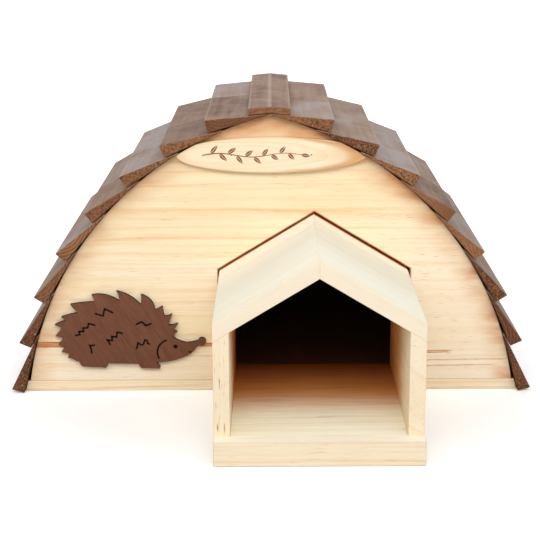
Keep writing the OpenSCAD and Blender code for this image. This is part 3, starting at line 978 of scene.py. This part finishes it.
def plaque_veneer(name):
    """Pale veneer whose rings are drawn out into loops, with a brown band near the right end."""
    wood = Finish(name, Specular_IOR_Level=0.35)
    place = wood.place()
    along = place.dot((1, 0, 0))
    across = place.dot((0, 1, 0))

    # Oval loops, centred left of the middle
    bend = place.mottle(70, 14, 2.0) * 4
    far = (along + 30) / 84
    near = (across + bend) / 13
    loops = (far * far + near * near).root()
    within = (loops * 3.3).part()
    late = within.rise(0.4, 0.95) * (1 - within.rise(0.97, 1.0))
    hairs = place.mottle(70, 1.3, 2.0, 0.6).rise(0.0, 0.45)
    body = wood.tint(place.mottle(60, 10) + 0.5, rgb(253, 230, 194), rgb(253, 236, 205))
    body = wood.tint(late * 0.25, body, rgb(240, 196, 142))
    body = wood.tint(hairs * 0.3, body, rgb(240, 202, 154))
    right_end = along.rise(36, 78) * across.rise(-16, 6)
    body = wood.tint(right_end * 0.7, body, rgb(214, 156, 100))
    brown_loop = loops.bell(1.2, 0.16) * along.rise(-10, 40)
    body = wood.tint(brown_loop * 0.8, body, rgb(210, 148, 86))
    toward_rim = (along * along / 5850 + across * across / 210).root()
    body = wood.tint(toward_rim.rise(0.82, 1.0) * 0.35, body, rgb(236, 182, 124))

    # Fibres, a few specks and the rounded edge
    fibres = place.mottle(22, 0.5, 3.0, 0.65)
    specks = place.mottle(1.2, 0.9, 1.0).rise(0.5, 0.62) * place.mottle(18, 12).rise(0.1, 0.3)
    body = wood.tint(specks * 0.5, body, rgb(170, 120, 76))
    body = wood.shade(body, 1 + fibres * 0.04)
    edge = 1 - abs(wood.toward((0, 1, 0))).rise(0.2, 0.8)
    body = wood.tint(edge * 0.6, body, rgb(214, 160, 106))
    return wood.done(
        Base_Color=body,
        Roughness=0.55 + fibres * 0.08,
        Normal=wood.relief(fibres * 0.3 - late * 0.1, 0.08),
    )


plaque = eased("oval_plaque_eased", "oval_plaque", width=0.6)
plaque_low, plaque_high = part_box("oval_plaque")
plaque_middle = (plaque_low + plaque_high) / 2 / MM
plaque_start = (plaque_middle.x, 0, plaque_middle.z)
lay_grain(plaque, (1, 0, 0), (0, 0, 1), board=0, start=plaque_start)
stand_in(plaque, "oval_plaque", plaque_veneer("plaque_veneer"))

# Sprig on the plaque
# A plain leafy sprig scorched into the veneer: a wavy stem with leaves in turn on either
# side, each leaf split along its middle rib.


def scorched(name):
    """Veneer scorched red brown, unevenly, with the grain still showing."""
    wood = Finish(name, Specular_IOR_Level=0.3)
    place = wood.place()
    char = place.mottle(9, 0.6, 3.0, 0.7)
    clouds = place.mottle(6, 3, 2.0)
    body = wood.tint(clouds + char * 0.6 + 0.5, rgb(112, 58, 40), rgb(156, 92, 66))
    return wood.done(Base_Color=body, Roughness=0.65 + char * 0.1)


def flat_piece(name, outlines, front, back):
    """Thin solids with these X-Z outlines, between two distances along Y."""
    bm = bmesh.new()
    for outline in outlines:
        near = [bm.verts.new(Vector((p.x, front, p.y)) * MM) for p in outline]
        far = [bm.verts.new(Vector((p.x, back, p.y)) * MM) for p in outline]
        bm.faces.new(near)
        bm.faces.new(far[::-1])
        for k in range(len(outline)):
            j = (k + 1) % len(outline)
            bm.faces.new((near[k], near[j], far[j], far[k]))
    bmesh.ops.recalc_face_normals(bm, faces=bm.faces)
    mesh = bpy.data.meshes.new(name)
    bm.to_mesh(mesh)
    bm.free()
    return bpy.data.objects.new(name, mesh)


def leaf_halves(root, angle, length, width, rib):
    """The two halves of a pointed leaf that grows from root, a rib's width apart."""
    steps = 12
    way = Vector((math.cos(angle), math.sin(angle)))
    side = Vector((-way.y, way.x))
    halves = []
    for sign in (1, -1):
        rim = []
        for k in range(steps + 1):
            t = k / steps
            swell = math.sin(math.pi * t ** 0.8) * width / 2
            rim.append(root + way * length * t + side * sign * (swell * (1 - 0.15 * t) + rib / 2))
        halves.append(rim if sign > 0 else rim[::-1])
    return halves


sprig_left = -54.0
sprig_right = 26.0
sprig_length = sprig_right - sprig_left
stem_wave = 1.5
stem_turns = 2 * math.pi * 1.5
stem_thick = 0.9
stem_taper = 0.6
stem_steps = 40
leaf_count = 10
leaf_start = 7.0
leaf_step = 6.9
leaf_length = 8.6
leaf_width = 3.0
leaf_rib = 0.35
leaf_angle = math.radians(42)


def stem_at(x):
    """The middle of the stem at x, and its direction."""
    turn = stem_turns * (x - sprig_left) / sprig_length
    slope = stem_wave * math.cos(turn) * stem_turns / sprig_length
    return Vector((x, plaque_middle.z + stem_wave * math.sin(turn))), math.atan(slope)


stem_top = []
stem_foot = []
for k in range(stem_steps + 1):
    point = stem_at(sprig_left + sprig_length * k / stem_steps)[0]
    half = stem_thick / 2 * (1 - stem_taper * k / stem_steps)
    stem_top.append(point + Vector((0, half)))
    stem_foot.append(point - Vector((0, half)))
sprig_outlines = [stem_top + stem_foot[::-1]]
for k in range(leaf_count):
    root, slope = stem_at(sprig_left + leaf_start + leaf_step * k)
    sign = 1 if k % 2 == 0 else -1
    start = root + Vector((0, sign * 0.5))
    length = leaf_length - 0.22 * k
    sprig_outlines += leaf_halves(start, slope + sign * leaf_angle, length, leaf_width, leaf_rib)
end_root, end_slope = stem_at(sprig_right - 0.6)
sprig_outlines += leaf_halves(end_root, end_slope, length=7.4, width=2.8, rib=leaf_rib)
plaque_face = plaque_low.y / MM
proud = 0.04
sunk = 0.4
sprig = flat_piece("plaque_sprig", sprig_outlines, plaque_face - proud, plaque_face + sunk)
lay_grain(sprig, (1, 0, 0), (0, 0, 1), board=0)
bpy.context.scene.collection.objects.link(sprig)
sprig.data.materials.append(scorched("sprig_scorch"))
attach(sprig, "root")

# Hedgehog
# A hedgehog cut by laser from stained plywood, with its curls, cheek, eye and mouth burnt
# deep into it, glued to the front board. The cuts are burnt nearly black.


def hedgehog_stain(name, face):
    """Red brown stain over veneer with steep fine grain, burnt black below its face."""
    wood = Finish(name, Specular_IOR_Level=0.2)
    place = wood.place()
    fibres = place.mottle(14, 0.9, 3.0, 0.7)
    streaks = place.mottle(40, 2.2, 3.0, 0.65)
    clouds = place.mottle(30, 18, 2.0)
    body = wood.tint(streaks * 0.6 + 0.5, rgb(98, 59, 42), rgb(126, 80, 59))
    body = wood.tint(clouds.rise(0.1, 0.5) * 0.3, body, rgb(140, 93, 69))
    dark = place.mottle(12, 0.6, 2.0).rise(0.12, 0.42)
    body = wood.tint(dark * 0.5, body, rgb(76, 44, 31))
    pale = place.mottle(10, 0.6, 2.0).rise(0.2, 0.45)
    body = wood.tint(pale * 0.35, body, rgb(158, 112, 88))
    body = wood.shade(body, 1 + fibres * 0.3)

    # Worn rims, browned edges and the black floors of the cuts
    below = 1 - place.dot((0, 0, 1)).rise(face - 0.9, face - 0.15)
    edge = 1 - abs(wood.toward((0, 1, 0))).rise(0.4, 0.8)
    body = wood.tint(wood.wear_and_shade() * 0.5, body, rgb(64, 38, 27))
    body = wood.tint(edge * 0.8, body, rgb(44, 26, 18))
    body = wood.tint(below, body, rgb(16, 9, 7))
    return wood.done(
        Base_Color=body,
        Roughness=0.55 + fibres * 0.1,
        Normal=wood.relief(fibres * 0.4 + streaks * 0.2, 0.1),
    )


hedgehog = eased("hedgehog_eased", "hedgehog_cutout", width=0.15, least=0.0)
lay_grain(hedgehog, (0.53, 0, -0.85), (0.85, 0, 0.53), board=0)
hedgehog_face = -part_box("hedgehog_cutout")[0].y / MM
stand_in(hedgehog, "hedgehog_cutout", hedgehog_stain("hedgehog_stain", hedgehog_face))

# Studio
# A white sheet under the house, large soft lamps in front, at both sides and behind, and a
# faint even light all round. The camera stands where the photograph was taken from.

sheet_half = 14.0
sheet_level = -0.0003
floor_mesh = bpy.data.meshes.new("studio_floor")
floor_mesh.from_pydata(
    [
        (-sheet_half, -sheet_half, sheet_level),
        (sheet_half, -sheet_half, sheet_level),
        (sheet_half, sheet_half, sheet_level),
        (-sheet_half, sheet_half, sheet_level),
    ],
    [],
    [(0, 1, 2, 3)],
)
studio_floor = bpy.data.objects.new("studio_floor", floor_mesh)
bpy.context.scene.collection.objects.link(studio_floor)
# The sheet glows to the camera alone, more with distance, and keeps the house's shadow
sheet = Finish("studio_sheet", Roughness=0.9, Specular_IOR_Level=0.0, Emission_Strength=1.0)
seen = sheet.node("ShaderNodeLightPath", {}, {}, "Is Camera Ray")
behind = sheet.spot().dot((0, 1, 0))
aside = sheet.spot().dot((1, 0, 0))
distance = (behind * behind + aside * aside).root()
glow = seen * (behind.rise(-200, 200) * 0.2 + distance.rise(250, 1300) * 0.65 + 0.14)
studio_floor.data.materials.append(
    sheet.done(
        Base_Color=sheet.tint(seen, rgb(225, 225, 225), rgb(255, 255, 255)),
        Emission_Color=sheet.tint(glow, (0, 0, 0, 1), (1, 1, 1, 1)),
    )
)

sky = Finish("studio_light", "world", Color=(1, 1, 1, 1))
seen_straight = sky.node("ShaderNodeLightPath", {}, {}, "Is Camera Ray")
seen_in_gloss = sky.node("ShaderNodeLightPath", {}, {}, "Is Glossy Ray")
white = seen_straight.most(seen_in_gloss)
bpy.context.scene.world = sky.done(Strength=white * 0.84 + 0.16)


def soft_lamp(name, place, aim, width, height, watts):
    """A large soft lamp that points from place at aim."""
    lamp = bpy.data.lights.new(name, "AREA")
    lamp.shape = "RECTANGLE"
    lamp.size = width
    lamp.size_y = height
    lamp.energy = watts
    holder = bpy.data.objects.new(name, lamp)
    holder.location = place
    holder.rotation_mode = "QUATERNION"
    holder.rotation_quaternion = (Vector(aim) - Vector(place)).to_track_quat("-Z", "Y")
    bpy.context.scene.collection.objects.link(holder)


house_middle = (0.0, 0.0, 0.1)
soft_lamp("key_lamp", (0.0, -1.55, 1.5), house_middle, width=1.8, height=1.0, watts=25.0)
soft_lamp("left_lamp", (-1.4, -0.9, 1.3), house_middle, width=1.0, height=1.0, watts=9.5)
soft_lamp("right_lamp", (1.4, -0.9, 1.3), house_middle, width=1.0, height=1.0, watts=9.5)
soft_lamp("back_lamp", (0.0, 1.35, 1.5), house_middle, width=1.6, height=1.0, watts=13.0)

# The camera's place, turn and focal length, from the outline of the arch and the tunnel in
# the photograph
photo_pixels = 540
focal_pixels = 1356
sensor_width = 36.0
camera_place = Vector((3.4, -1102.75, 390.7)) * MM
tilt = math.radians(14.95)
yaw = math.radians(-0.19)
roll = math.radians(0.33)
forward = Vector((math.sin(yaw) * math.cos(tilt), math.cos(yaw) * math.cos(tilt), -math.sin(tilt)))
level = Vector((math.cos(yaw), -math.sin(yaw), 0))
down = forward.cross(level)
right = level * math.cos(roll) + down * math.sin(roll)
under = down * math.cos(roll) - level * math.sin(roll)
camera_data = bpy.data.cameras.new("photo_camera")
camera_data.sensor_width = sensor_width
camera_data.lens = sensor_width * focal_pixels / photo_pixels
camera_data.clip_start = 0.05
camera_data.clip_end = 60.0
camera = bpy.data.objects.new("photo_camera", camera_data)
turn = Matrix((right, -under, -forward)).transposed()
camera.matrix_world = Matrix.Translation(camera_place) @ turn.to_4x4()
bpy.context.scene.collection.objects.link(camera)
bpy.context.scene.camera = camera

bpy.context.scene.view_settings.view_transform = "Standard"
